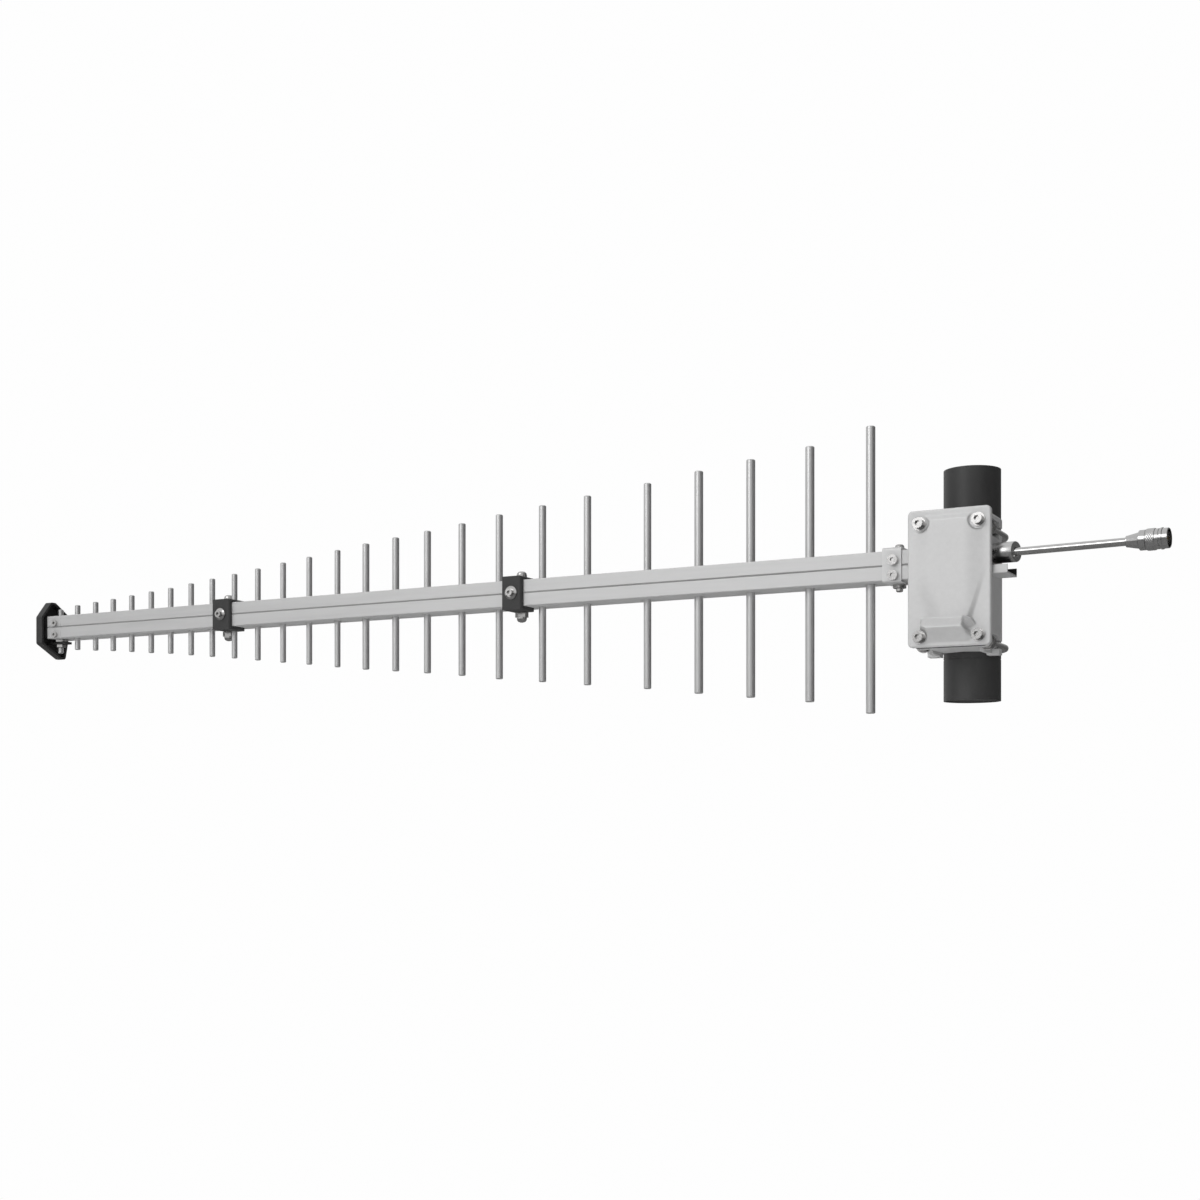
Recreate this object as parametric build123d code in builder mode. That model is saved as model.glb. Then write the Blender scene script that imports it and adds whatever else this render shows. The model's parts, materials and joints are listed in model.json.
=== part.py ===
from build123d import *
import math
import os

os.makedirs("parts", exist_ok=True)

# Log-periodic antenna on a mast stub, all sizes in millimetres.
# Origin: centre of the lower end of the mast. Z runs up the mast, -X toward the nose of
# the boom, -Y toward the side with the relief cover.

# Mast
mast_radius = 24.15
mast_wall = 2.0
mast_groove_z = 35.0
mast_groove_width = 1.0
mast_groove_depth = 0.4
mast_length = 198.0
cap_recess = 1.2
cap_thickness = 3.0
cap_skirt = 10.0
cap_skirt_wall = 2.0

# Boom of two hollow rails with a thin strip between them
boom_y = -50.0
seam_z = 111.5
rail_height = 12.0
rail_depth = 32.0
rail_wall = 1.5
rail_corner = 0.7
strip_thickness = 0.8
strip_inset = 1.0
boom_front_x = -1030.5
upper_rail_rear_x = 30.5
lower_rail_rear_x = 46.5
plug_length = 5.0
plug_head_end_x = -1010.0
plug_edge = 0.4
rail_mill_start_x = 30.5
rail_mill_floor_z = 106.2

# Rods, counted from the mast toward the nose
first_rod_x = -74.0
rod_gaps = (55, 55.5, 50.5, 51.5, 62.5, 48.5, 48, 42.5, 40.5, 38, 36.5, 35.5, 36, 34,
            33.5, 31.5, 30.5, 29.5, 29, 28, 28.5, 27.5, 26.5, 27.5, 26)
rod_spans = (245, 222, 210.5, 200, 188, 176.5, 167, 158, 148, 140, 133, 126.5, 119,
             110.5, 103.5, 96, 89, 83, 77, 71, 67, 62, 57.5, 54, 50, 49.5)
thick_rods = 4
middle_rods = 8
thick_rod_diameter = 8.0
middle_rod_diameter = 7.0
thin_rod_diameter = 6.0
rod_tip_chamfer = 0.7
rod_fit = 0.05
nose_rod_drop = 3.2

# Vertical bolts through the boom
bolt_radius = 3.0
bolt_hole_radius = 3.1
clamp_bolt_y = -48.0
rear_clamp_bolt_x = -421.5
front_clamp_bolt_x = -783.0
bracket_bolt_x = -48.5
nut_flats = 10.0

# Black mid clamps
clamp_front_wall = 4.0
clamp_flange = 3.5
clamp_back_y = -44.3
rear_clamp_left = -431.4
rear_clamp_right = -409.0
front_clamp_left = -787.6
front_clamp_right = -763.3
clamp_corner = 3.0
clamp_washer_radius = 6.4
clamp_washer_rim = 0.9
clamp_washer_crown_radius = 4.3
clamp_washer_thickness = 2.0
clamp_screw_head = 2.8
clamp_screw_head_radius = 3.5
clamp_socket_flat = 1.7
clamp_socket_depth = 1.8
clamp_bolt_head_height = 7.0
clamp_bolt_head_radius = 5.0
clamp_bolt_tip_z = 90.2
clamp_nut_flats = 11.0
clamp_nut_hex = 5.0
clamp_nut_dome = 4.8
clamp_nut_dome_radius = 4.9

# Small screws with socket heads
screw_radius = 2.0
screw_fit = 0.05
screw_drop = 2.1
bracket_head_radius = 4.4
bracket_head_height = 3.6
nose_head_radius = 3.4
nose_head_height = 2.4
socket_flat = 1.6
socket_depth = 1.6
screw_tip_y = -60.0
nose_screw_x = -1018.6

# Light bracket near the housing
bracket_left = -58.1
bracket_right = -41.7
bracket_sheet = 1.6
bracket_flange = 2.8
bracket_bend = 2.4
bracket_head_crown = 4.6
bracket_bolt_head_radius = 4.0
bracket_bolt_tip_z = 91.0
bracket_nut_height = 3.4
bracket_back_y = -42.0

# Nose cap
cap_front_x = -1044.0
cap_rear_x = -1034.0
cap_near_y = -70.8
cap_far_y = -31.8
cap_peak_near_y = -57.0
cap_peak_far_y = -50.5
cap_foot_near_y = -42.5
cap_foot_far_y = -36.0
cap_peak_z = 141.0
cap_foot_z = 78.0
cap_near_top_z = 123.6
cap_near_low_z = 93.4
cap_far_top_z = 128.4
cap_far_low_z = 99.0
cap_corner = 3.2
cap_sheet = 2.5
tongue_end_x = -1014.0
tongue_width = 14.0
tongue_sheet = 2.5
tongue_drop = 3.0
nose_nut_flats = 12.5
nose_nut_height = 3.6

# Housing and cover
body_half_width = 30.5
body_bottom = 40.5
jaw_lug_bottom = 36.5
body_top = 152.0
body_back_y = -19.0
jaw_front_y = -29.0
pocket_half_width = 17.0
pocket_floor_y = -34.0
groove_half_angle = 65.0
groove_gap = 0.2
plate_width = 69.4
plate_bottom = 41.0
plate_top = 154.3
plate_corner = 4.0
plate_face_y = -72.0
plate_back_y = -68.0
cover_bolt_x = 24.6
cover_bolt_high = 143.2
cover_bolt_low = 49.4
cover_bolt_radius = 2.5
cover_bolt_tip_y = -58.0
cover_head_radius = 4.25
cover_head_height = 5.6
cover_washer_radius = 5.6
cover_washer_thickness = 1.2
panel_height = 4.4
panel_edge_x = 34.0
panel_top_z = 149.3
panel_top_x = 16.0
panel_rest_z = 98.5
panel_waist_x = 32.8
panel_knee_x = 27.6
panel_knee_z = 87.2
panel_foot_x = 20.2
panel_foot_z = 65.0
panel_slope = 12.0
wedge_knee_x = 23.6
wedge_foot_x = 15.3
side_arc_radius = 15.2
side_arc_x = 29.8
side_arc_z = 140.6
lip_height = 10.0
lip_half_width = 22.0
lip_upper_z = 65.2
lip_crest_z = 58.2
lip_lower_z = 45.6
lip_end_radius = 12.8
lip_end_flare = 14.6

# U-bolts round the mast
u_wire_radius = 3.0
u_bend_radius = 27.35
u_high = 139.5
u_low = 44.8
u_tip_y = -56.0
u_pocket_height = 14.0
u_pocket_inner_x = 20.0
u_pocket_front_y = -57.0
u_slot_height = 6.6
flange_nut_radius = 6.5
flange_nut_sheet = 1.2
flange_nut_height = 6.0

# Feed tube, gland and plug
gland_radius = 8.5
gland_end_x = 49.8
gland_edge = 0.8
gland_countersink_radius = 4.3
gland_countersink_depth = 0.9
gland_screw_y = -2.7
gland_screw_z = -4.6
gland_screw_radius = 1.95
gland_screw_depth = 6.0
spigot_radius = 4.4
spigot_start_x = 24.0
tube_radius = 3.25
tube_start_x = 25.0
tube_bend_x = 58.0
tube_bend_radius = 60.0
tube_yaw = 5.75
bore_fit = 0.05
line_radius = 2.0
line_y = -41.5
ferrule_start = 80.7
ferrule_end = 91.2
ferrule_lip_radius = 4.6
ferrule_lip_length = 1.0
ferrule_end_radius = 6.6
body_radius = 8.0
body_edge = 0.4
body_step = 0.1
nut_rear = 96.7
nut_radius = 8.5
nut_groove_radius = 7.75
nut_rim_radius = 8.1
nut_edge = 0.4
band_end = 103.9
groove_start = 106.4
flange_rear = 107.8
flange_front = 109.2
flange_radius = 8.55
mouth = 113.8
mouth_outer_radius = 8.0
mouth_radius = 7.3
mouth_depth = 4.4
mouth_step = 0.25
nut_inner_face = 99.0
neck_radius = 5.5
neck_running_gap = 0.05
neck_end = 103.0
sleeve_radius = 4.9
sleeve_bore = 4.05
sleeve_end = 109.0
sleeve_back = 95.0
sleeve_slot_start = 104.5
sleeve_slot_width = 0.8
ring_groove_start = 99.1
ring_groove_width = 1.1
ring_groove_radius = 5.0
ring_outer_radius = 6.6
ring_clearance = 0.05
ring_split = 2.4
insulator_end = 107.5
insulator_gap = 0.05
pin_radius = 1.0
pin_hole = 1.05
pin_point_radius = 0.4
pin_point_length = 0.6

# Derived places
boom_face_y = boom_y - rail_depth / 2
boom_back_y = boom_y + rail_depth / 2
upper_z = seam_z + strip_thickness / 2 + rail_height / 2
lower_z = seam_z - strip_thickness / 2 - rail_height / 2
boom_top = upper_z + rail_height / 2
boom_bottom = lower_z - rail_height / 2
upper_floor = upper_z - rail_height / 2 + rail_wall
lower_ceiling = lower_z + rail_height / 2 - rail_wall
rod_places = [first_rod_x]
for gap in rod_gaps:
    rod_places.append(rod_places[-1] - gap)
rod_diameters = []
for index in range(len(rod_spans)):
    if index < thick_rods:
        rod_diameters.append(thick_rod_diameter)
    elif index < thick_rods + middle_rods:
        rod_diameters.append(middle_rod_diameter)
    else:
        rod_diameters.append(thin_rod_diameter)
nose_rod_x = rod_places[-1]
upper_screw_z = upper_z - screw_drop
lower_screw_z = lower_z - screw_drop
vertical_bolts = (
    (rear_clamp_bolt_x, clamp_bolt_y),
    (front_clamp_bolt_x, clamp_bolt_y),
    (bracket_bolt_x, boom_y),
)
clamp_screw_places = (
    (rear_clamp_left + rear_clamp_right) / 2,
    (front_clamp_left + front_clamp_right) / 2,
)
cover_bolt_places = (
    (-cover_bolt_x, cover_bolt_high),
    (cover_bolt_x, cover_bolt_high),
    (-cover_bolt_x, cover_bolt_low),
    (cover_bolt_x, cover_bolt_low),
)
yaw = math.radians(tube_yaw)
tube_length = sleeve_back - 0.1
pin_back = sleeve_back + bore_fit
ring_start = ring_groove_start + ring_clearance
ring_end = ring_groove_start + ring_groove_width - ring_clearance
feed_origin = (tube_bend_x, boom_y, upper_z)
feed_direction = (math.cos(yaw), -math.sin(yaw), 0)
feed_plane = Plane(origin=feed_origin, x_dir=feed_direction, z_dir=(0, 0, 1))
feed_axis = Axis(feed_origin, feed_direction)
gland_plane = Plane(origin=(0, boom_y, upper_z), x_dir=(1, 0, 0), z_dir=(0, 0, 1))
gland_axis = Axis((0, boom_y, upper_z), (1, 0, 0))


def facing(y):
    """Plane that looks toward -Y, with X to the right and Z up."""
    return Plane(origin=(0, y, 0), x_dir=(1, 0, 0), z_dir=(0, -1, 0))


def drill_y(places, radius, y_start, y_end):
    """Round holes along Y at (x, z) places in the part being built."""
    with BuildSketch(facing(y_end)) as drill:
        with Locations(*places):
            Circle(radius)
    extrude(drill.sketch, amount=y_end - y_start, mode=Mode.SUBTRACT)


def drill_z(places, radius, z_start, z_end):
    """Round holes along Z at (x, y) places in the part being built."""
    with BuildSketch(Plane.XY.offset(z_start)) as drill:
        with Locations(*places):
            Circle(radius)
    extrude(drill.sketch, amount=z_end - z_start, mode=Mode.SUBTRACT)


def post_y(place, radius, y_start, y_end):
    """Round post along Y from y_end toward the viewer at y_start."""
    with BuildSketch(facing(y_end)) as post:
        with Locations(place):
            Circle(radius)
    extrude(post.sketch, amount=y_end - y_start)


def turned(plane, axis, points, mode=Mode.ADD):
    """Solid turned about an axis from a closed half profile."""
    with BuildSketch(plane) as profile:
        with BuildLine():
            Polyline(*points, close=True)
        make_face()
    revolve(profile.sketch, axis=axis, mode=mode)


# Upper rail: hollow, one rod hole per dipole in its top wall
with BuildPart() as upper_rail:
    with BuildSketch(Plane.YZ.offset(plug_head_end_x)):
        with Locations((boom_y, upper_z)):
            RectangleRounded(rail_depth, rail_height, rail_corner)
            Rectangle(rail_depth - 2 * rail_wall, rail_height - 2 * rail_wall, mode=Mode.SUBTRACT)
    extrude(amount=upper_rail_rear_x - plug_head_end_x)
    for rod_x, rod_d in zip(rod_places[:-1], rod_diameters):
        drill_z([(rod_x, boom_y)], rod_d / 2 + rod_fit, boom_top - rail_wall - 1, boom_top + 1)
    drill_z(vertical_bolts, bolt_hole_radius, seam_z, boom_top + 1)
    drill_y([(x, seam_z) for x in clamp_screw_places], screw_radius + screw_fit,
            boom_face_y - 1, screw_tip_y)
    drill_y([(bracket_bolt_x, upper_screw_z)], screw_radius + screw_fit, boom_face_y - 1,
            boom_face_y + rail_wall + 1)
upper_rail.part.label = "upper_rail"
export_step(upper_rail.part, "parts/upper_rail.step")

# Lower rail: hollow, longer than the upper one, milled down to a tray beside the gland
with BuildPart() as lower_rail:
    with BuildSketch(Plane.YZ.offset(plug_head_end_x)):
        with Locations((boom_y, lower_z)):
            RectangleRounded(rail_depth, rail_height, rail_corner)
            Rectangle(rail_depth - 2 * rail_wall, rail_height - 2 * rail_wall, mode=Mode.SUBTRACT)
    extrude(amount=lower_rail_rear_x - plug_head_end_x)
    for rod_x, rod_d in zip(rod_places[:-1], rod_diameters):
        drill_z([(rod_x, boom_y)], rod_d / 2 + rod_fit, boom_bottom - 1, boom_bottom + rail_wall + 1)
    drill_z(vertical_bolts, bolt_hole_radius, boom_bottom - 1, seam_z)
    drill_y([(x, seam_z) for x in clamp_screw_places], screw_radius + screw_fit,
            boom_face_y - 1, screw_tip_y)
    drill_y([(bracket_bolt_x, lower_screw_z)], screw_radius + screw_fit, boom_face_y - 1,
            boom_face_y + rail_wall + 1)
    with BuildSketch(Plane.XY.offset(rail_mill_floor_z)):
        with Locations((rail_mill_start_x + 25, boom_y)):
            Rectangle(50, rail_depth + 2)
    extrude(amount=20, mode=Mode.SUBTRACT)
lower_rail.part.label = "lower_rail"
export_step(lower_rail.part, "parts/lower_rail.step")

# Insulating strip in the seam, a little narrower than the rails
with BuildPart() as rail_separator:
    with BuildSketch(Plane.YZ.offset(boom_front_x + strip_inset)):
        with Locations((boom_y, seam_z)):
            Rectangle(rail_depth - 2 * strip_inset, strip_thickness)
    extrude(amount=upper_rail_rear_x - boom_front_x - 2 * strip_inset)
    drill_z(vertical_bolts, bolt_hole_radius, seam_z - 2, seam_z + 2)
    drill_y([(x, seam_z) for x in clamp_screw_places], screw_radius + screw_fit,
            boom_face_y - 1, screw_tip_y)
rail_separator.part.label = "rail_separator"
export_step(rail_separator.part, "parts/rail_separator.step")

# Nose plugs: solid heads flush with the rails, spigots inside them
with BuildPart() as rail_plugs:
    with BuildSketch(Plane.YZ.offset(boom_front_x)):
        with Locations((boom_y, upper_z), (boom_y, lower_z)):
            RectangleRounded(rail_depth, rail_height, rail_corner)
    extrude(amount=plug_head_end_x - boom_front_x)
    seat_edges = rail_plugs.faces().filter_by(Axis.X).sort_by(Axis.X)[-2:].edges()
    chamfer(seat_edges, length=plug_edge)
    with BuildSketch(Plane.YZ.offset(plug_head_end_x)):
        with Locations((boom_y, upper_z), (boom_y, lower_z)):
            Rectangle(rail_depth - 2 * rail_wall - 0.1, rail_height - 2 * rail_wall - 0.1)
    extrude(amount=plug_length)
    drill_z([(nose_rod_x, boom_y)], thin_rod_diameter / 2 + rod_fit, boom_bottom - 1, boom_top + 1)
    drill_y([(nose_screw_x, upper_screw_z), (nose_screw_x, lower_screw_z)],
            screw_radius + screw_fit, boom_face_y - 1, screw_tip_y + 0.5)
    with BuildSketch(Plane.YZ.offset(boom_front_x - 1)):
        with Locations((line_y, upper_z)):
            Circle(line_radius + 0.05)
    extrude(amount=plug_head_end_x + plug_length - boom_front_x + 2, mode=Mode.SUBTRACT)
rail_plugs.part.label = "rail_plugs"
export_step(rail_plugs.part, "parts/rail_plugs.step")

# Two black U-shaped clamps, open toward the back of the boom
clamp_table = (
    ("rear_clamp", rear_clamp_left, rear_clamp_right, rear_clamp_bolt_x, clamp_screw_places[0]),
    ("front_clamp", front_clamp_left, front_clamp_right, front_clamp_bolt_x, clamp_screw_places[1]),
)
for clamp_name, clamp_left, clamp_right, clamp_bolt_x, clamp_screw_x in clamp_table:
    clamp_front_y = boom_face_y - clamp_front_wall
    with BuildPart() as mid_clamp:
        with BuildSketch(Plane.YZ.offset(clamp_left)):
            with Locations(((clamp_front_y + clamp_back_y) / 2, seam_z)):
                Rectangle(clamp_back_y - clamp_front_y, boom_top - boom_bottom + 2 * clamp_flange)
            with Locations((boom_face_y + 20, seam_z)):
                Rectangle(40, boom_top - boom_bottom, mode=Mode.SUBTRACT)
        extrude(amount=clamp_right - clamp_left)
        with BuildSketch(Plane.XY.offset(boom_bottom - 10)):
            with Locations(((clamp_left + clamp_right) / 2, (clamp_front_y + clamp_back_y) / 2)):
                RectangleRounded(clamp_right - clamp_left, clamp_back_y - clamp_front_y, clamp_corner)
        extrude(amount=60, mode=Mode.INTERSECT)
        with BuildSketch(facing(0)):
            with Locations(((clamp_left + clamp_right) / 2, seam_z)):
                RectangleRounded(clamp_right - clamp_left,
                                 boom_top - boom_bottom + 2 * clamp_flange, 2.0)
        extrude(amount=100, mode=Mode.INTERSECT)
        drill_z([(clamp_bolt_x, clamp_bolt_y)], bolt_hole_radius, boom_bottom - 10, boom_top + 10)
        for rod_x, rod_d in zip(rod_places, rod_diameters):
            if clamp_left - rod_d < rod_x < clamp_right + rod_d:
                drill_z([(rod_x, boom_y)], rod_d / 2 + 0.1, boom_bottom - 10, boom_top + 10)
        drill_y([(clamp_screw_x, seam_z)], screw_radius + screw_fit, clamp_front_y - 1,
                boom_face_y + 1)
    mid_clamp.part.label = clamp_name
    export_step(mid_clamp.part, "parts/" + clamp_name + ".step")

# Dished washers under the front screws of the clamps
with BuildPart() as clamp_washers:
    washer_back_y = boom_face_y - clamp_front_wall
    for screw_x in clamp_screw_places:
        washer_plane = Plane(origin=(screw_x, washer_back_y, seam_z), x_dir=(1, 0, 0),
                             z_dir=(0, 0, 1))
        turned(washer_plane, Axis((screw_x, washer_back_y, seam_z), (0, 1, 0)), (
            (screw_radius + screw_fit, 0),
            (clamp_washer_radius, 0),
            (clamp_washer_radius, -clamp_washer_rim),
            (clamp_washer_crown_radius, -clamp_washer_thickness),
            (screw_radius + screw_fit, -clamp_washer_thickness),
        ))
clamp_washers.part.label = "clamp_washers"
export_step(clamp_washers.part, "parts/clamp_washers.step")

# Front screws of the clamps
with BuildPart() as clamp_screws:
    head_back_y = boom_face_y - clamp_front_wall - clamp_washer_thickness
    for screw_x in clamp_screw_places:
        post_y((screw_x, seam_z), screw_radius, head_back_y, screw_tip_y)
        post_y((screw_x, seam_z), clamp_screw_head_radius, head_back_y - clamp_screw_head,
               head_back_y)
        with BuildSketch(facing(head_back_y - clamp_screw_head + clamp_socket_depth)) as socket:
            with Locations((screw_x, seam_z)):
                RegularPolygon(clamp_socket_flat, 6, major_radius=False)
        extrude(socket.sketch, amount=clamp_socket_depth + 1, mode=Mode.SUBTRACT)
clamp_screws.part.label = "clamp_screws"
export_step(clamp_screws.part, "parts/clamp_screws.step")

# Light sheet bracket round the boom near the housing
with BuildPart() as rear_bracket:
    with BuildSketch(Plane.YZ.offset(bracket_left)):
        with BuildLine():
            Polyline(
                (boom_face_y - bracket_sheet, boom_bottom - bracket_sheet),
                (bracket_back_y, boom_bottom - bracket_sheet),
                (bracket_back_y, boom_bottom),
                (boom_face_y, boom_bottom),
                (boom_face_y, boom_top),
                (bracket_back_y, boom_top),
                (bracket_back_y, boom_top + bracket_flange),
                (boom_face_y - bracket_sheet, boom_top + bracket_flange),
                close=True,
            )
        make_face()
    extrude(amount=bracket_right - bracket_left)
    drill_z([(bracket_bolt_x, boom_y)], bolt_hole_radius, boom_bottom - 5, boom_top + 5)
    drill_y([(bracket_bolt_x, upper_screw_z), (bracket_bolt_x, lower_screw_z)],
            screw_radius + screw_fit, boom_face_y - 3, boom_face_y + 1)
    outer_edges = rear_bracket.edges().filter_by(Axis.X).sort_by(Axis.Y)[0:2]
    fillet(outer_edges.sort_by(Axis.Z)[0], radius=bracket_sheet * 0.8)
    top_edges = rear_bracket.edges().filter_by(Axis.X).sort_by(Axis.Z)[-2:]
    fillet(top_edges.sort_by(Axis.Y)[0], radius=bracket_bend)
rear_bracket.part.label = "rear_bracket"
export_step(rear_bracket.part, "parts/rear_bracket.step")

# Socket screws: two through the rear bracket, two into the nose plugs
screw_table = (
    (bracket_bolt_x, boom_face_y - bracket_sheet, bracket_head_radius, bracket_head_height),
    (nose_screw_x, boom_face_y, nose_head_radius, nose_head_height),
)
with BuildPart() as bracket_screws:
    for screw_x, seat_y, head_r, head_h in screw_table:
        for screw_z in (upper_screw_z, lower_screw_z):
            post_y((screw_x, screw_z), screw_radius, seat_y, screw_tip_y)
            post_y((screw_x, screw_z), head_r, seat_y - head_h, seat_y)
            with BuildSketch(facing(seat_y - head_h + socket_depth)) as socket:
                with Locations((screw_x, screw_z)):
                    RegularPolygon(socket_flat, 6, major_radius=False)
            extrude(socket.sketch, amount=socket_depth + 1, mode=Mode.SUBTRACT)
bracket_screws.part.label = "bracket_screws"
export_step(bracket_screws.part, "parts/bracket_screws.step")

# Vertical bolts: seat of the head, head radius and height, lower end of the shank
bolt_table = (
    (rear_clamp_bolt_x, clamp_bolt_y, boom_top + clamp_flange, clamp_bolt_head_radius,
     clamp_bolt_head_height, clamp_bolt_tip_z),
    (front_clamp_bolt_x, clamp_bolt_y, boom_top + clamp_flange, clamp_bolt_head_radius,
     clamp_bolt_head_height, clamp_bolt_tip_z),
    (bracket_bolt_x, boom_y, boom_top + bracket_flange, bracket_bolt_head_radius,
     bracket_head_crown, bracket_bolt_tip_z),
)
with BuildPart() as clamp_bolts:
    for bolt_x, bolt_y, seat_z, head_r, head_h, tip_z in bolt_table:
        bolt_plane = Plane(origin=(bolt_x, bolt_y, seat_z), x_dir=(1, 0, 0), z_dir=(0, -1, 0))
        bolt_axis = Axis((bolt_x, bolt_y, seat_z), (0, 0, 1))
        turned(bolt_plane, bolt_axis, (
            (0, tip_z - seat_z),
            (bolt_radius - 0.8, tip_z - seat_z),
            (bolt_radius, tip_z - seat_z + 0.8),
            (bolt_radius, 0),
            (head_r, 0),
            (head_r, head_h * 0.5),
            (head_r * 0.9, head_h * 0.76),
            (head_r * 0.66, head_h * 0.94),
            (head_r * 0.4, head_h),
            (0, head_h),
        ))
clamp_bolts.part.label = "clamp_bolts"
export_step(clamp_bolts.part, "parts/clamp_bolts.step")

# Domed nuts under the clamps, a flat nut under the rear bracket
with BuildPart() as clamp_nuts:
    dome_top = boom_bottom - clamp_flange
    for nut_x in (rear_clamp_bolt_x, front_clamp_bolt_x):
        with BuildSketch(Plane.XY.offset(dome_top - clamp_nut_hex)) as hexagon:
            with Locations((nut_x, clamp_bolt_y)):
                RegularPolygon(clamp_nut_flats / 2, 6, major_radius=False, rotation=30)
        extrude(hexagon.sketch, amount=clamp_nut_hex)
        nut_plane = Plane(origin=(nut_x, clamp_bolt_y, dome_top), x_dir=(1, 0, 0),
                          z_dir=(0, -1, 0))
        turned(nut_plane, Axis((nut_x, clamp_bolt_y, dome_top), (0, 0, 1)), (
            (0, -clamp_nut_hex),
            (clamp_nut_dome_radius, -clamp_nut_hex),
            (clamp_nut_dome_radius, -clamp_nut_hex - clamp_nut_dome * 0.3),
            (clamp_nut_dome_radius * 0.88, -clamp_nut_hex - clamp_nut_dome * 0.66),
            (clamp_nut_dome_radius * 0.62, -clamp_nut_hex - clamp_nut_dome * 0.9),
            (clamp_nut_dome_radius * 0.3, -clamp_nut_hex - clamp_nut_dome),
            (0, -clamp_nut_hex - clamp_nut_dome),
        ))
        drill_z([(nut_x, clamp_bolt_y)], bolt_radius + 0.05, clamp_bolt_tip_z - 0.5, dome_top + 1)
    flat_top = boom_bottom - bracket_sheet
    with BuildSketch(Plane.XY.offset(flat_top - bracket_nut_height)) as flat_nut:
        with Locations((bracket_bolt_x, boom_y)):
            RegularPolygon(nut_flats / 2, 6, major_radius=False, rotation=30)
            Circle(bolt_radius + 0.05, mode=Mode.SUBTRACT)
    extrude(flat_nut.sketch, amount=bracket_nut_height)
clamp_nuts.part.label = "clamp_nuts"
export_step(clamp_nuts.part, "parts/clamp_nuts.step")

# Nose cap: dish with a seven-cornered outline that opens toward the boom
cap_corners = (
    (cap_near_y, cap_near_low_z),
    (cap_near_y, cap_near_top_z),
    (cap_peak_near_y, cap_peak_z),
    (cap_peak_far_y, cap_peak_z),
    (cap_far_y, cap_far_top_z),
    (cap_far_y, cap_far_low_z),
    (cap_foot_far_y, cap_foot_z),
    (cap_foot_near_y, cap_foot_z),
)
with BuildPart() as nose_cap:
    with BuildSketch(Plane.YZ.offset(cap_front_x)) as cap_outline:
        with BuildLine():
            Polyline(*cap_corners, close=True)
        make_face()
        fillet(cap_outline.vertices(), radius=cap_corner)
    extrude(amount=cap_rear_x - cap_front_x)
    fillet(nose_cap.faces().sort_by(Axis.X)[0].edges(), radius=2.0)
    with BuildSketch(Plane.YZ.offset(cap_front_x + cap_sheet)) as cap_hollow:
        with BuildLine():
            Polyline(*cap_corners, close=True)
        make_face()
        fillet(cap_hollow.vertices(), radius=cap_corner)
        offset(amount=-cap_sheet, mode=Mode.REPLACE)
    extrude(amount=20, mode=Mode.SUBTRACT)
    with BuildSketch(Plane.YZ.offset(cap_front_x + cap_sheet / 2)):
        with Locations((boom_y, seam_z)):
            RectangleRounded(rail_depth - 3, boom_top - boom_bottom - 2, 2.0)
    extrude(amount=boom_front_x - cap_front_x - cap_sheet / 2)
    tongue_top = boom_bottom - tongue_drop
    with BuildSketch(Plane.YZ.offset(cap_front_x + cap_sheet / 2)):
        with Locations((boom_y, tongue_top - tongue_sheet / 2)):
            Rectangle(tongue_width, tongue_sheet)
    extrude(amount=tongue_end_x - cap_front_x - cap_sheet / 2)
    with BuildSketch(Plane.XY.offset(tongue_top)):
        with Locations((nose_rod_x + 1.0, boom_y)):
            RectangleRounded(12.0, tongue_width, 2.0)
    extrude(amount=tongue_drop)
    drill_z([(nose_rod_x, boom_y)], thin_rod_diameter / 2 + 0.1, boom_bottom - 12, boom_bottom + 1)
nose_cap.part.label = "nose_cap"
export_step(nose_cap.part, "parts/nose_cap.step")

# Nut that holds the tongue on the front-most lower rod
with BuildPart() as nose_nut:
    nut_top = boom_bottom - tongue_drop - tongue_sheet
    with BuildSketch(Plane.XY.offset(nut_top - nose_nut_height)):
        with Locations((nose_rod_x, boom_y)):
            RegularPolygon(nose_nut_flats / 2, 6, major_radius=False)
            Circle(thin_rod_diameter / 2 + 0.05, mode=Mode.SUBTRACT)
    extrude(amount=nose_nut_height)
nose_nut.part.label = "nose_nut"
export_step(nose_nut.part, "parts/nose_nut.step")

# Rods: every dipole is an upper and a lower half rod, seated inside its rail
for index, (rod_x, rod_span, rod_d) in enumerate(zip(rod_places, rod_spans, rod_diameters)):
    rod_name = "dipole_" + format(index + 1, "02d")
    drop = nose_rod_drop if index == len(rod_spans) - 1 else 0
    with BuildPart() as dipole:
        for foot_z, tip_z in ((upper_floor, seam_z + rod_span / 2 - drop),
                              (lower_ceiling, seam_z - rod_span / 2 - drop)):
            way = 1 if tip_z > foot_z else -1
            rod_plane = Plane(origin=(rod_x, boom_y, 0), x_dir=(1, 0, 0), z_dir=(0, -1, 0))
            turned(rod_plane, Axis((rod_x, boom_y, 0), (0, 0, 1)), (
                (0, foot_z),
                (rod_d / 2, foot_z),
                (rod_d / 2, tip_z - way * rod_tip_chamfer),
                (rod_d / 2 - rod_tip_chamfer, tip_z),
                (0, tip_z),
            ))
    dipole.part.label = rod_name
    export_step(dipole.part, "parts/" + rod_name + ".step")

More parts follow.
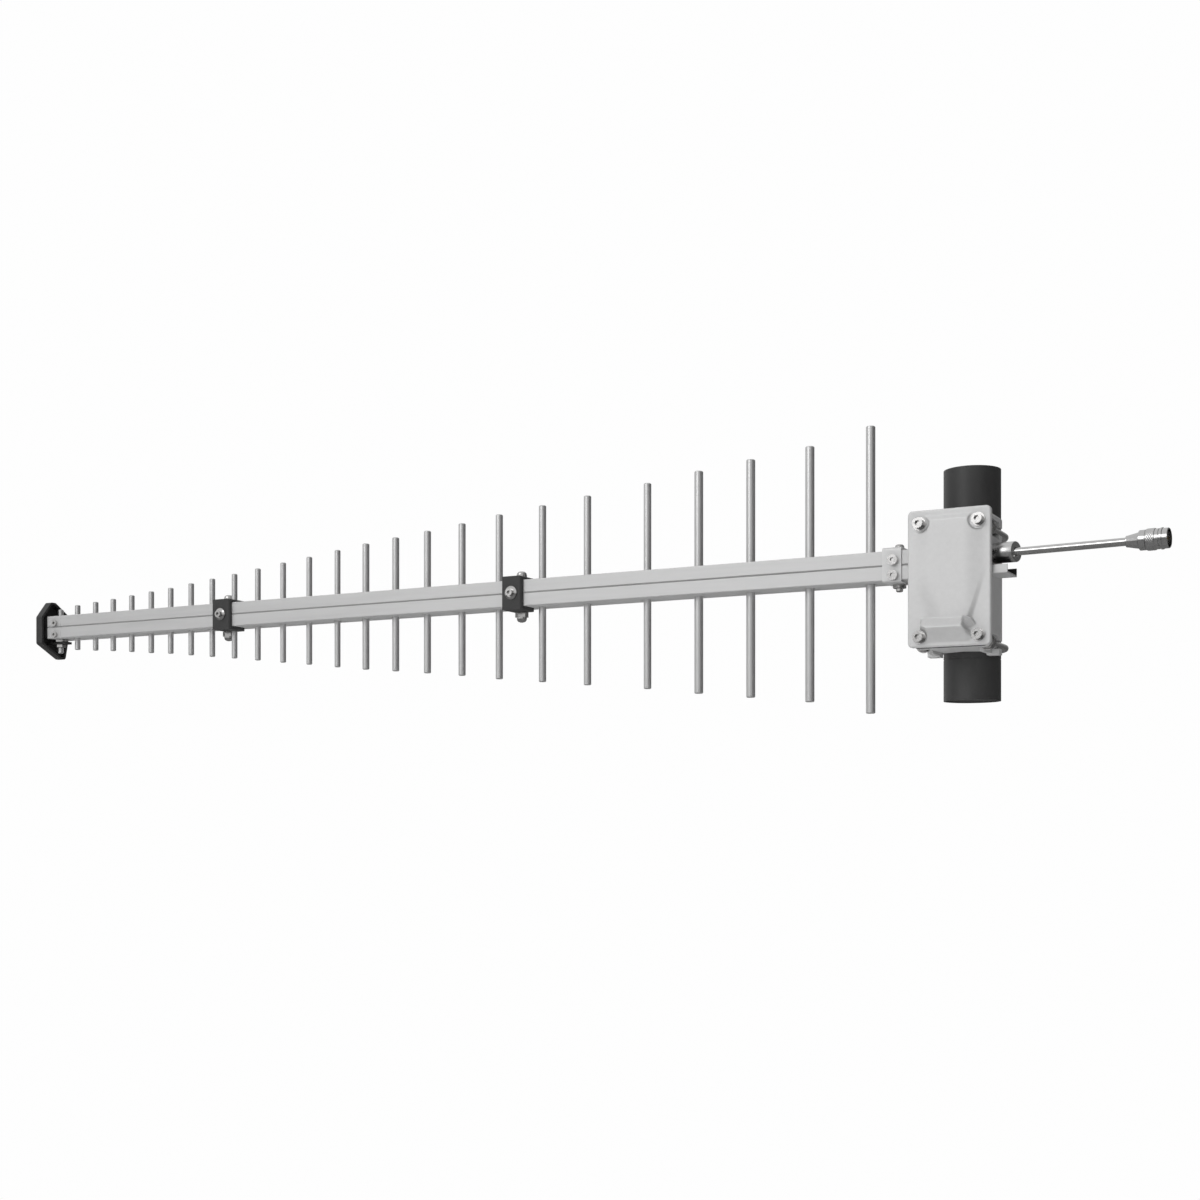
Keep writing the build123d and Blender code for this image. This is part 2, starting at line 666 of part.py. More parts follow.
# Housing: cast body with boom channel, pockets, V-groove and side pockets for the U-bolts
with BuildPart() as housing_body:
    with BuildSketch(facing(body_back_y)):
        with Locations((0, (body_bottom + body_top) / 2)):
            RectangleRounded(2 * body_half_width, body_top - body_bottom, 3.0)
    extrude(amount=body_back_y - boom_face_y)
    with BuildSketch(facing(boom_back_y)):
        with Locations((0, seam_z)):
            Rectangle(100, boom_top - boom_bottom + 0.2)
    extrude(amount=100, mode=Mode.SUBTRACT)
    with BuildSketch(facing(pocket_floor_y)):
        with Locations((0, (boom_top + 4 + body_top - 5) / 2)):
            RectangleRounded(2 * pocket_half_width, body_top - 5 - boom_top - 4, 2.5)
        with Locations((0, (body_bottom + 5 + boom_bottom - 4) / 2)):
            RectangleRounded(2 * pocket_half_width, boom_bottom - 4 - body_bottom - 5, 2.5)
    extrude(amount=100, mode=Mode.SUBTRACT)
    groove_apex = -(mast_radius + groove_gap) / math.sin(math.radians(groove_half_angle))
    groove_side = 30 * math.tan(math.radians(groove_half_angle))
    with BuildSketch(Plane.XY):
        with BuildLine():
            Polyline((0, groove_apex), (groove_side, groove_apex + 30),
                     (-groove_side, groove_apex + 30), close=True)
        make_face()
    extrude(amount=200, mode=Mode.SUBTRACT)
    for side in (-1, 1):
        with BuildSketch(facing(body_back_y)) as lug:
            with Locations((side * (u_pocket_inner_x + body_half_width) / 2,
                            (jaw_lug_bottom + body_bottom + 5) / 2)):
                Rectangle(body_half_width - u_pocket_inner_x, body_bottom + 5 - jaw_lug_bottom)
        extrude(lug.sketch, amount=body_back_y - jaw_front_y)
    for u_z in (u_high, u_low):
        for side in (-1, 1):
            with BuildSketch(facing(jaw_front_y)) as pocket:
                with Locations((side * (u_pocket_inner_x + 20), u_z)):
                    Rectangle(40, u_pocket_height)
            extrude(pocket.sketch, amount=jaw_front_y - u_pocket_front_y, mode=Mode.SUBTRACT)
            with BuildSketch(facing(0)) as slot:
                with Locations((side * (u_bend_radius - u_wire_radius - 0.3 + 20), u_z)):
                    Rectangle(40, u_slot_height)
            extrude(slot.sketch, amount=-jaw_front_y + 1, mode=Mode.SUBTRACT)
    drill_y(cover_bolt_places, cover_bolt_radius + 0.05, boom_face_y - 1, cover_bolt_tip_y)
housing_body.part.label = "housing_body"
export_step(housing_body.part, "parts/housing_body.step")

# Seal between housing and cover
with BuildPart() as cover_gasket:
    with BuildSketch(facing(boom_face_y)):
        with Locations((0, (body_bottom + body_top) / 2)):
            RectangleRounded(2 * body_half_width, body_top - body_bottom, 3.0)
        with Locations(*cover_bolt_places):
            Circle(cover_bolt_radius + 0.2, mode=Mode.SUBTRACT)
    extrude(amount=boom_face_y - plate_back_y)
cover_gasket.part.label = "cover_gasket"
export_step(cover_gasket.part, "parts/cover_gasket.step")

# Cover: flat plate, raised panel that narrows toward the foot, lip below it
panel_side = (
    (panel_top_x, panel_top_z),
    (panel_edge_x, panel_top_z),
    (panel_edge_x, panel_rest_z),
    (panel_waist_x, panel_rest_z),
    (panel_knee_x, panel_knee_z),
    (panel_foot_x, panel_foot_z),
)
lip_places = (
    (-cover_bolt_x - lip_end_radius * 0.15, cover_bolt_low + 4.2),
    (cover_bolt_x + lip_end_radius * 0.15, cover_bolt_low + 4.2),
)
with BuildPart() as cover_plate:
    with BuildSketch(facing(plate_back_y)):
        with Locations((0, (plate_bottom + plate_top) / 2)):
            RectangleRounded(plate_width, plate_top - plate_bottom, plate_corner)
    extrude(amount=plate_back_y - plate_face_y)
    with BuildSketch(facing(plate_face_y)):
        with BuildLine():
            Polyline(*panel_side, *[(-x, z) for x, z in reversed(panel_side)], close=True)
        make_face()
    extrude(amount=panel_height, taper=panel_slope)
    for side in (-1, 1):
        with BuildSketch(facing(plate_face_y - panel_height)) as arc_cut:
            with Locations((side * side_arc_x, side_arc_z)):
                Circle(side_arc_radius)
        extrude(arc_cut.sketch, amount=-panel_height, mode=Mode.SUBTRACT)
        with BuildSketch(Plane.XY.offset(panel_rest_z)) as wedge_top:
            with BuildLine():
                Polyline(
                    (side * panel_waist_x, plate_face_y),
                    (side * (panel_waist_x + 9), plate_face_y),
                    (side * (panel_waist_x + 9), plate_face_y - panel_height - 1),
                    (side * (panel_waist_x - 0.3), plate_face_y - panel_height - 1),
                    close=True,
                )
            make_face()
        with BuildSketch(Plane.XY.offset(panel_knee_z)) as wedge_knee:
            with BuildLine():
                Polyline(
                    (side * panel_knee_x, plate_face_y),
                    (side * (panel_knee_x + 14), plate_face_y),
                    (side * (panel_knee_x + 14), plate_face_y - panel_height - 1),
                    (side * wedge_knee_x, plate_face_y - panel_height - 1),
                    close=True,
                )
            make_face()
        with BuildSketch(Plane.XY.offset(panel_foot_z - 2)) as wedge_foot:
            with BuildLine():
                Polyline(
                    (side * panel_foot_x, plate_face_y),
                    (side * (panel_foot_x + 14), plate_face_y),
                    (side * (panel_foot_x + 14), plate_face_y - panel_height - 1),
                    (side * wedge_foot_x, plate_face_y - panel_height - 1),
                    close=True,
                )
            make_face()
        loft(sections=[wedge_top.sketch, wedge_knee.sketch], ruled=True, mode=Mode.SUBTRACT)
        loft(sections=[wedge_knee.sketch, wedge_foot.sketch], ruled=True, mode=Mode.SUBTRACT)
    with BuildSketch(Plane.YZ.offset(-lip_half_width)) as lip:
        with BuildLine():
            Polyline((plate_face_y + 1, lip_upper_z), (plate_face_y, lip_upper_z),
                     (plate_face_y - lip_height, lip_crest_z), (plate_face_y, lip_lower_z),
                     (plate_face_y + 1, lip_lower_z), close=True)
        make_face()
    extrude(lip.sketch, amount=2 * lip_half_width)
    for place in lip_places:
        scallop_plane = Plane(origin=(place[0], plate_face_y, place[1]), x_dir=(1, 0, 0),
                              z_dir=(0, 0, 1))
        turned(scallop_plane, Axis((place[0], 0, place[1]), (0, 1, 0)), (
            (0, 0), (lip_end_radius, 0), (lip_end_flare, -lip_height - 1), (0, -lip_height - 1),
        ), mode=Mode.SUBTRACT)
    drill_y(cover_bolt_places, cover_bolt_radius + 0.2, plate_face_y - 20, plate_back_y + 1)
cover_plate.part.label = "cover_plate"
export_step(cover_plate.part, "parts/cover_plate.step")

# Washers and socket bolts of the cover
with BuildPart() as cover_washers:
    with BuildSketch(facing(plate_face_y)):
        with Locations(*cover_bolt_places):
            Circle(cover_washer_radius)
            Circle(cover_bolt_radius + 0.1, mode=Mode.SUBTRACT)
    extrude(amount=cover_washer_thickness)
cover_washers.part.label = "cover_washers"
export_step(cover_washers.part, "parts/cover_washers.step")

with BuildPart() as cover_bolts:
    head_seat_y = plate_face_y - cover_washer_thickness
    for place in cover_bolt_places:
        post_y(place, cover_bolt_radius, head_seat_y, cover_bolt_tip_y)
        post_y(place, cover_head_radius, head_seat_y - cover_head_height, head_seat_y)
        with BuildSketch(facing(head_seat_y - cover_head_height + 2.8)):
            with Locations(place):
                RegularPolygon(2.0, 6, major_radius=False)
        extrude(amount=4, mode=Mode.SUBTRACT)
cover_bolts.part.label = "cover_bolts"
export_step(cover_bolts.part, "parts/cover_bolts.step")

# U-bolts: two legs forward through the jaws and a half ring round the mast
with BuildPart() as u_bolts:
    for u_z in (u_high, u_low):
        with BuildLine(Plane.XY.offset(u_z)) as u_path:
            Line((-u_bend_radius, u_tip_y), (-u_bend_radius, 0))
            ThreePointArc((-u_bend_radius, 0), (0, u_bend_radius), (u_bend_radius, 0))
            Line((u_bend_radius, 0), (u_bend_radius, u_tip_y))
        with BuildSketch(Plane(origin=(-u_bend_radius, u_tip_y, u_z), z_dir=(0, 1, 0))):
            Circle(u_wire_radius)
        sweep(path=u_path.line)
u_bolts.part.label = "u_bolts"
export_step(u_bolts.part, "parts/u_bolts.step")

# Flange nuts of the U-bolts, seated on the front of the jaws
with BuildPart() as u_bolt_nuts:
    nut_places = [(side * u_bend_radius, u_z) for u_z in (u_high, u_low) for side in (-1, 1)]
    with BuildSketch(facing(jaw_front_y)):
        with Locations(*nut_places):
            Circle(flange_nut_radius)
            Circle(u_wire_radius + 0.05, mode=Mode.SUBTRACT)
    extrude(amount=flange_nut_sheet)
    with BuildSketch(facing(jaw_front_y - flange_nut_sheet)):
        with Locations(*nut_places):
            RegularPolygon(nut_flats / 2, 6, major_radius=False)
            Circle(u_wire_radius + 0.05, mode=Mode.SUBTRACT)
    extrude(amount=flange_nut_height - flange_nut_sheet)
u_bolt_nuts.part.label = "u_bolt_nuts"
export_step(u_bolt_nuts.part, "parts/u_bolt_nuts.step")

# Mast tube with a fine end ring and a recessed plug in each end
with BuildPart() as mast_tube:
    with BuildSketch(Plane.XY):
        Circle(mast_radius)
        Circle(mast_radius - mast_wall, mode=Mode.SUBTRACT)
    extrude(amount=mast_length)
    with BuildSketch(Plane.XY.offset(mast_groove_z)):
        Circle(mast_radius + 1)
        Circle(mast_radius - mast_groove_depth, mode=Mode.SUBTRACT)
    extrude(amount=mast_groove_width, mode=Mode.SUBTRACT)
mast_tube.part.label = "mast_tube"
export_step(mast_tube.part, "parts/mast_tube.step")

plug_radius = mast_radius - mast_wall - 0.05
for plug_name, plug_face, plug_way in (("mast_cap_top", mast_length - cap_recess, -1),
                                       ("mast_cap_bottom", cap_recess, 1)):
    with BuildPart() as mast_cap:
        turned(Plane.XZ, Axis.Z, (
            (0, plug_face),
            (plug_radius, plug_face),
            (plug_radius, plug_face + plug_way * cap_skirt),
            (plug_radius - cap_skirt_wall, plug_face + plug_way * cap_skirt),
            (plug_radius - cap_skirt_wall, plug_face + plug_way * cap_thickness),
            (0, plug_face + plug_way * cap_thickness),
        ))
    mast_cap.part.label = plug_name
    export_step(mast_cap.part, "parts/" + plug_name + ".step")

# Gland: polished round block with a spigot into the upper rail and a flat rear face
with BuildPart() as feed_gland:
    turned(gland_plane, gland_axis, (
        (spigot_start_x, tube_radius + bore_fit),
        (spigot_start_x, spigot_radius),
        (upper_rail_rear_x, spigot_radius),
        (upper_rail_rear_x, gland_radius),
        (gland_end_x - gland_edge, gland_radius),
        (gland_end_x, gland_radius - gland_edge),
        (gland_end_x, gland_countersink_radius),
        (gland_end_x - gland_countersink_depth, tube_radius + bore_fit),
    ))
    screw_face = Plane(origin=(gland_end_x, boom_y, upper_z), x_dir=(0, 1, 0), z_dir=(1, 0, 0))
    with BuildSketch(screw_face):
        with Locations((gland_screw_y, gland_screw_z)):
            Circle(gland_screw_radius + bore_fit)
    extrude(amount=-gland_screw_depth, mode=Mode.SUBTRACT)
feed_gland.part.label = "feed_gland"
export_step(feed_gland.part, "parts/feed_gland.step")

# Lock screw in the rear face of the gland
with BuildPart() as gland_screw:
    with BuildSketch(screw_face.offset(-gland_screw_depth)):
        with Locations((gland_screw_y, gland_screw_z)):
            Circle(gland_screw_radius)
    extrude(amount=gland_screw_depth - 0.1)
    with BuildSketch(screw_face.offset(-1.0)):
        with Locations((gland_screw_y, gland_screw_z)):
            Rectangle(2 * gland_screw_radius + 1, 0.6)
    extrude(amount=2, mode=Mode.SUBTRACT)
gland_screw.part.label = "gland_screw"
export_step(gland_screw.part, "parts/gland_screw.step")

# Feed tube: straight out of the gland, then a gentle bend toward the viewer
with BuildPart() as feed_tube:
    tube_end = (tube_bend_x + tube_length * math.cos(yaw), boom_y - tube_length * math.sin(yaw))
    with BuildLine(Plane.XY.offset(upper_z)) as tube_path:
        FilletPolyline((tube_start_x, boom_y), (tube_bend_x, boom_y), tube_end,
                       radius=tube_bend_radius)
    with BuildSketch(Plane(origin=(tube_start_x, boom_y, upper_z), z_dir=(1, 0, 0))):
        Circle(tube_radius)
    sweep(path=tube_path.line)
feed_tube.part.label = "feed_tube"
export_step(feed_tube.part, "parts/feed_tube.step")

# Ferrule: small rounded lip and polished cone that carry the tube into the plug
with BuildPart() as connector_ferrule:
    turned(feed_plane, feed_axis, (
        (ferrule_start, tube_radius + bore_fit),
        (ferrule_start, ferrule_lip_radius - 0.3),
        (ferrule_start + 0.3, ferrule_lip_radius),
        (ferrule_start + ferrule_lip_length, ferrule_lip_radius),
        (ferrule_end, ferrule_end_radius),
        (ferrule_end, tube_radius + bore_fit),
    ))
connector_ferrule.part.label = "connector_ferrule"
export_step(connector_ferrule.part, "parts/connector_ferrule.step")

# Plug body: polished rear section, neck for the nut, slotted sleeve in front
with BuildPart() as connector_body:
    turned(feed_plane, feed_axis, (
        (ferrule_end, tube_radius + bore_fit),
        (ferrule_end, body_radius - body_edge),
        (ferrule_end + body_edge, body_radius),
        (nut_rear - body_step - body_edge, body_radius),
        (nut_rear - body_step, body_radius - body_edge),
        (nut_rear - body_step, neck_radius),
        (ring_groove_start, neck_radius),
        (ring_groove_start, ring_groove_radius),
        (ring_groove_start + ring_groove_width, ring_groove_radius),
        (ring_groove_start + ring_groove_width, neck_radius),
        (neck_end, neck_radius),
        (neck_end + body_edge, sleeve_radius),
        (sleeve_end, sleeve_radius),
        (sleeve_end, sleeve_bore),
        (sleeve_back, sleeve_bore),
        (sleeve_back, tube_radius + bore_fit),
    ))
    slot_plane = Plane(origin=feed_plane.from_local_coords((sleeve_slot_start, 0, 0)),
                       x_dir=(0, 0, 1), z_dir=feed_direction)
    with BuildSketch(slot_plane):
        Rectangle(2 * sleeve_radius + 2, sleeve_slot_width)
        Rectangle(sleeve_slot_width, 2 * sleeve_radius + 2)
    extrude(amount=sleeve_end - sleeve_slot_start + 1, mode=Mode.SUBTRACT)
connector_body.part.label = "connector_body"
export_step(connector_body.part, "parts/connector_body.step")

# Split ring in the groove of the neck, keeps the nut on the plug
with BuildPart() as retaining_ring:
    turned(feed_plane, feed_axis, (
        (ring_start, ring_groove_radius + ring_clearance),
        (ring_start, ring_outer_radius),
        (ring_end, ring_outer_radius),
        (ring_end, ring_groove_radius + ring_clearance),
    ))
    ring_plane = Plane(origin=feed_plane.from_local_coords((ring_start - 0.2, 0, 0)),
                       x_dir=(0, 0, 1), z_dir=feed_direction)
    with BuildSketch(ring_plane):
        with Locations((ring_outer_radius, 0)):
            Rectangle(ring_outer_radius, ring_split)
    extrude(amount=ring_groove_width + 1, mode=Mode.SUBTRACT)
retaining_ring.part.label = "retaining_ring"
export_step(retaining_ring.part, "parts/retaining_ring.step")

# Coupling nut: turns on the neck, open mouth to the rear of the feed
with BuildPart() as coupling_nut:
    turned(feed_plane, feed_axis, (
        (nut_rear, neck_radius + neck_running_gap),
        (nut_rear, nut_radius - nut_edge),
        (nut_rear + nut_edge, nut_radius),
        (band_end - nut_edge, nut_radius),
        (band_end, nut_rim_radius),
        (groove_start, nut_rim_radius),
        (groove_start + nut_edge, nut_groove_radius),
        (flange_rear - nut_edge, nut_groove_radius),
        (flange_rear, flange_radius),
        (flange_front, flange_radius),
        (flange_front + nut_edge, mouth_outer_radius),
        (mouth - nut_edge, mouth_outer_radius),
        (mouth, mouth_outer_radius - 0.3),
        (mouth, mouth_radius),
        (mouth - mouth_depth, mouth_radius),
        (mouth - mouth_depth, mouth_radius - mouth_step),
        (nut_inner_face, mouth_radius - mouth_step),
        (nut_inner_face, neck_radius + neck_running_gap),
    ))
coupling_nut.part.label = "coupling_nut"
export_step(coupling_nut.part, "parts/coupling_nut.step")

# Insulator and centre pin inside the sleeve
with BuildPart() as connector_insulator:
    turned(feed_plane, feed_axis, (
        (pin_back, pin_hole),
        (pin_back, sleeve_bore - insulator_gap),
        (insulator_end, sleeve_bore - insulator_gap),
        (insulator_end, pin_hole),
    ))
connector_insulator.part.label = "connector_insulator"
export_step(connector_insulator.part, "parts/connector_insulator.step")

with BuildPart() as centre_pin:
    turned(feed_plane, feed_axis, (
        (pin_back, 0),
        (pin_back, pin_radius),
        (sleeve_end - pin_point_length, pin_radius),
        (sleeve_end, pin_point_radius),
        (sleeve_end, 0),
    ))
centre_pin.part.label = "centre_pin"
export_step(centre_pin.part, "parts/centre_pin.step")

# Coaxial line inside the upper rail, led past the rods to the nose
with BuildPart() as feed_line:
    with BuildLine(Plane.XY.offset(upper_z)) as line_path:
        FilletPolyline((tube_start_x, boom_y), (12.0, boom_y), (-14.0, line_y),
                       (boom_front_x + 4.0, line_y), radius=14.0)
    with BuildSketch(Plane(origin=(tube_start_x, boom_y, upper_z), z_dir=(-1, 0, 0))):
        Circle(line_radius)
    sweep(path=line_path.line)
feed_line.part.label = "feed_line"
export_step(feed_line.part, "parts/feed_line.step")
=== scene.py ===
import json
import math

import bpy
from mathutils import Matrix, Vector


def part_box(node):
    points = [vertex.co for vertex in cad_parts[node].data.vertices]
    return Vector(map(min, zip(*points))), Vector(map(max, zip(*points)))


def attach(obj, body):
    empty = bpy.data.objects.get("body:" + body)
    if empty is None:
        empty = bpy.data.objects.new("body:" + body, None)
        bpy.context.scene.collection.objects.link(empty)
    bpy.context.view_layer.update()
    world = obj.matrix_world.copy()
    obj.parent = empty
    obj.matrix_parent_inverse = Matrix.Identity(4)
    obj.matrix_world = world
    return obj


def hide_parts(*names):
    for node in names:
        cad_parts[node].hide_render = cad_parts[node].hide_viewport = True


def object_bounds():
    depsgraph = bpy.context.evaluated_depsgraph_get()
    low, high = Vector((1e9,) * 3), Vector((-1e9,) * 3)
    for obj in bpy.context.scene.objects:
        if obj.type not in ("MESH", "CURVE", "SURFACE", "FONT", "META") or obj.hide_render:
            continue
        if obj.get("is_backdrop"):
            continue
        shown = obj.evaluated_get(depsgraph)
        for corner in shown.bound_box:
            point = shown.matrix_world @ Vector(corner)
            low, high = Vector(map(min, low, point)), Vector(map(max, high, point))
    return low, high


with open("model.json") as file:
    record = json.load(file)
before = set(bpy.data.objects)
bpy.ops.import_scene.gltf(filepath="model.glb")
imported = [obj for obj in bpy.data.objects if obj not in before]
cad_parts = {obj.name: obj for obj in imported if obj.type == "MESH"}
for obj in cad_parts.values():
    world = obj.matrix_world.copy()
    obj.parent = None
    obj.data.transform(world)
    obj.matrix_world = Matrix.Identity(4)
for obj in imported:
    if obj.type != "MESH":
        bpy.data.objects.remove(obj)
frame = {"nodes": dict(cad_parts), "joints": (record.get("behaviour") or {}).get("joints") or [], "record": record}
low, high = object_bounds()
nodes = frame["nodes"]

# Helpers for node materials


def new_material(name):
    """Empty node material with its shader and object coordinates."""
    mat = bpy.data.materials.new(name)
    mat.use_nodes = True
    tree = mat.node_tree
    tree.nodes.clear()
    out = tree.nodes.new("ShaderNodeOutputMaterial")
    bsdf = tree.nodes.new("ShaderNodeBsdfPrincipled")
    tree.links.new(bsdf.outputs["BSDF"], out.inputs["Surface"])
    coord = tree.nodes.new("ShaderNodeTexCoord")
    return mat, tree, bsdf, coord


def noise_at(tree, coord, scale, stretch, detail, rough):
    """Noise texture on object coordinates, finer along the larger stretch values."""
    mapping = tree.nodes.new("ShaderNodeMapping")
    mapping.inputs["Scale"].default_value = stretch
    tree.links.new(coord.outputs["Object"], mapping.inputs["Vector"])
    noise = tree.nodes.new("ShaderNodeTexNoise")
    noise.inputs["Scale"].default_value = scale
    noise.inputs["Detail"].default_value = detail
    noise.inputs["Roughness"].default_value = rough
    tree.links.new(mapping.outputs["Vector"], noise.inputs["Vector"])
    return noise.outputs["Fac"]


# Noise values that the shades and the gloss are spread over
NOISE_SPAN = (0.3, 0.7)


def ranged(tree, fac, low_value, high_value):
    """Map a noise value to a range."""
    node = tree.nodes.new("ShaderNodeMapRange")
    node.inputs["From Min"].default_value = NOISE_SPAN[0]
    node.inputs["From Max"].default_value = NOISE_SPAN[1]
    node.inputs["To Min"].default_value = low_value
    node.inputs["To Max"].default_value = high_value
    tree.links.new(fac, node.inputs["Value"])
    return node.outputs["Result"]


def ramped(tree, fac, dark, light):
    """Colour ramp from a dark to a light shade."""
    node = tree.nodes.new("ShaderNodeValToRGB")
    for element, position, shade in zip(node.color_ramp.elements, NOISE_SPAN, (dark, light)):
        element.position = position
        element.color = (*shade, 1)
    tree.links.new(fac, node.inputs["Fac"])
    return node.outputs["Color"]


def surface(name, dark, light, metallic, rough, scale=300.0, stretch=(1, 1, 1), bump=0.1,
            bump_depth=0.00005, fine=900.0):
    """Material with two close shades, uneven gloss and a fine grain."""
    mat, tree, bsdf, coord = new_material(name)
    broad = noise_at(tree, coord, scale, stretch, detail=4.0, rough=0.55)
    grain = noise_at(tree, coord, fine, stretch, detail=2.0, rough=0.6)
    tree.links.new(ramped(tree, broad, dark, light), bsdf.inputs["Base Color"])
    tree.links.new(ranged(tree, broad, *rough), bsdf.inputs["Roughness"])
    bsdf.inputs["Metallic"].default_value = metallic
    node = tree.nodes.new("ShaderNodeBump")
    node.inputs["Strength"].default_value = bump
    node.inputs["Distance"].default_value = bump_depth
    tree.links.new(grain, node.inputs["Height"])
    tree.links.new(node.outputs["Normal"], bsdf.inputs["Normal"])
    return mat


def grey(value, warm=0.0):
    """Neutral shade, with a little more red and less blue where it is warm."""
    return (value * (1 + warm), value, value * (1 - warm))


SURFACES = {
    "boom_aluminium": dict(dark=grey(0.55), light=grey(0.61), metallic=0.55, rough=(0.44, 0.52),
                           scale=60.0, stretch=(0.15, 3, 3), bump=0.12, bump_depth=0.00004,
                           fine=500.0),
    "rod_aluminium": dict(dark=grey(0.56), light=grey(0.61), metallic=0.8, rough=(0.3, 0.36),
                          scale=120.0, stretch=(3, 3, 0.05), bump=0.05, bump_depth=0.00001,
                          fine=700.0),
    "cast_aluminium": dict(dark=grey(0.62), light=grey(0.67), metallic=0.55, rough=(0.48, 0.6),
                           scale=220.0, bump=0.25, bump_depth=0.00008, fine=1500.0),
    "bright_steel": dict(dark=grey(0.5, 0.01), light=grey(0.58, 0.01), metallic=1.0,
                         rough=(0.15, 0.22), scale=400.0, bump_depth=0.00003, fine=1200.0),
    "polished_metal": dict(dark=grey(0.55, 0.005), light=grey(0.62, 0.005), metallic=1.0,
                           rough=(0.13, 0.17), scale=150.0, bump=0.01, bump_depth=0.000005),
    "satin_metal": dict(dark=grey(0.6, 0.005), light=grey(0.66, 0.005), metallic=1.0,
                        rough=(0.26, 0.32), scale=150.0, bump=0.02, bump_depth=0.00001),
    "black_clamp": dict(dark=grey(0.026), light=grey(0.036), metallic=0.0, rough=(0.5, 0.6),
                        bump=0.2, bump_depth=0.00006, fine=1300.0),
    "black_plastic": dict(dark=grey(0.02), light=grey(0.03), metallic=0.0, rough=(0.45, 0.55),
                          bump=0.2, bump_depth=0.00006, fine=1300.0),
    "black_mast": dict(dark=grey(0.03), light=grey(0.04), metallic=0.0, rough=(0.42, 0.5),
                       scale=80.0, stretch=(1, 1, 0.4), bump=0.12, bump_depth=0.00006),
    "dark_seal": dict(dark=grey(0.03), light=grey(0.045), metallic=0.0, rough=(0.6, 0.7)),
    "white_insulator": dict(dark=grey(0.7), light=grey(0.8), metallic=0.0, rough=(0.35, 0.45)),
    "contact_brass": dict(dark=(0.6, 0.42, 0.16), light=(0.75, 0.55, 0.25), metallic=1.0,
                          rough=(0.22, 0.3)),
    "seam_grey": dict(dark=grey(0.26), light=grey(0.32), metallic=0.2, rough=(0.5, 0.6),
                      scale=60.0, stretch=(0.15, 3, 3)),
}
mats = {name: surface(name, **look) for name, look in SURFACES.items()}

# Space inside the lower rail's open end, where shade is painted into the colour: its centre and half its size
# along each axis
OPEN_END = {"X": (0.060, 0.032), "Y": (-0.050, 0.0146), "Z": (0.1040, 0.0036)}
# Painted shade: near-black colour for the inside of that open end
PAINTED_INSIDE_SHADE = (0.02, 0.02, 0.02, 1)


def paint_shade_inside(mat):
    """Painted shade: near-black colour inside the open end of the lower rail, where the gland shades it."""
    tree = mat.node_tree
    bsdf = next(n for n in tree.nodes if n.type == "BSDF_PRINCIPLED")
    coord = next(n for n in tree.nodes if n.type == "TEX_COORD")
    split = tree.nodes.new("ShaderNodeSeparateXYZ")
    tree.links.new(coord.outputs["Object"], split.inputs["Vector"])
    mask = None
    for axis, (centre, reach) in OPEN_END.items():
        near = tree.nodes.new("ShaderNodeMath")
        near.operation = "COMPARE"
        near.inputs[1].default_value = centre
        near.inputs[2].default_value = reach
        tree.links.new(split.outputs[axis], near.inputs[0])
        if mask is None:
            mask = near.outputs["Value"]
            continue
        both = tree.nodes.new("ShaderNodeMath")
        both.operation = "MULTIPLY"
        tree.links.new(mask, both.inputs[0])
        tree.links.new(near.outputs["Value"], both.inputs[1])
        mask = both.outputs["Value"]
    source = bsdf.inputs["Base Color"].links[0].from_socket
    mix = tree.nodes.new("ShaderNodeMix")
    mix.data_type = "RGBA"
    tree.links.new(mask, mix.inputs["Factor"])
    tree.links.new(source, next(s for s in mix.inputs if s.identifier == "A_Color"))
    next(s for s in mix.inputs if s.identifier == "B_Color").default_value = PAINTED_INSIDE_SHADE
    result = next(s for s in mix.outputs if s.identifier == "Result_Color")
    tree.links.new(result, bsdf.inputs["Base Color"])


# Paints shade into the rails' material inside the lower rail's open end
paint_shade_inside(mats["boom_aluminium"])

# Helpers for pieces


def dress(obj, slot_name, look=None):
    """Give a piece its slot's material, or another look in the same slot."""
    obj.data.materials.clear()
    obj.data.materials.append(mats[look or slot_name])


def add_piece(name, mesh, slot_name, body, *replaced, look=None):
    """Piece from a mesh, with its material, body and the nodes that it stands for."""
    obj = bpy.data.objects.new(name, mesh)
    bpy.context.collection.objects.link(obj)
    dress(obj, slot_name, look)
    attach(obj, body)
    if replaced:
        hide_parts(*replaced)
    return obj


def add_mesh(name, verts, faces, slot_name, body, *replaced, look=None, rounded=True):
    """Piece from points and faces, shaded round or flat."""
    mesh = bpy.data.meshes.new(name)
    mesh.from_pydata(verts, [], faces)
    mesh.validate()
    mesh.update()
    for poly in mesh.polygons:
        poly.use_smooth = rounded
    return add_piece(name, mesh, slot_name, body, *replaced, look=look)


def box_piece(name, corner_low, corner_high, slot_name, body, *replaced, look=None):
    """Plain block between two corners."""
    (x0, y0, z0), (x1, y1, z1) = corner_low, corner_high
    verts = [(x, y, z) for x in (x0, x1) for y in (y0, y1) for z in (z0, z1)]
    faces = [(0, 1, 3, 2), (4, 6, 7, 5), (0, 4, 5, 1), (2, 3, 7, 6), (0, 2, 6, 4), (1, 5, 7, 3)]
    return add_mesh(name, verts, faces, slot_name, body, *replaced, look=look, rounded=False)


def ring_mesh(name, rings, around, place, slot_name, body, *replaced, look=None):
    """Mesh through rings of points, given by place(ring, angle), open at both ends."""
    verts = [place(ring, 2 * math.pi * k / around) for ring in rings for k in range(around)]
    faces = []
    for r in range(len(rings) - 1):
        for k in range(around):
            j = (k + 1) % around
            faces.append((r * around + k, r * around + j,
                          (r + 1) * around + j, (r + 1) * around + k))
    return add_mesh(name, verts, faces, slot_name, body, *replaced, look=look)


def ramp(value, start, end):
    """Straight change from 0 at the start to 1 at the end."""
    return min(max((value - start) / (end - start), 0.0), 1.0)


def smooth(value, start, end):
    """Soft change from 0 at the start to 1 at the end."""
    t = ramp(value, start, end)
    return t * t * (3 - 2 * t)


for sub in frame["record"]["subparts"]:
    dress(nodes[sub["node"]], sub["material_slot"])

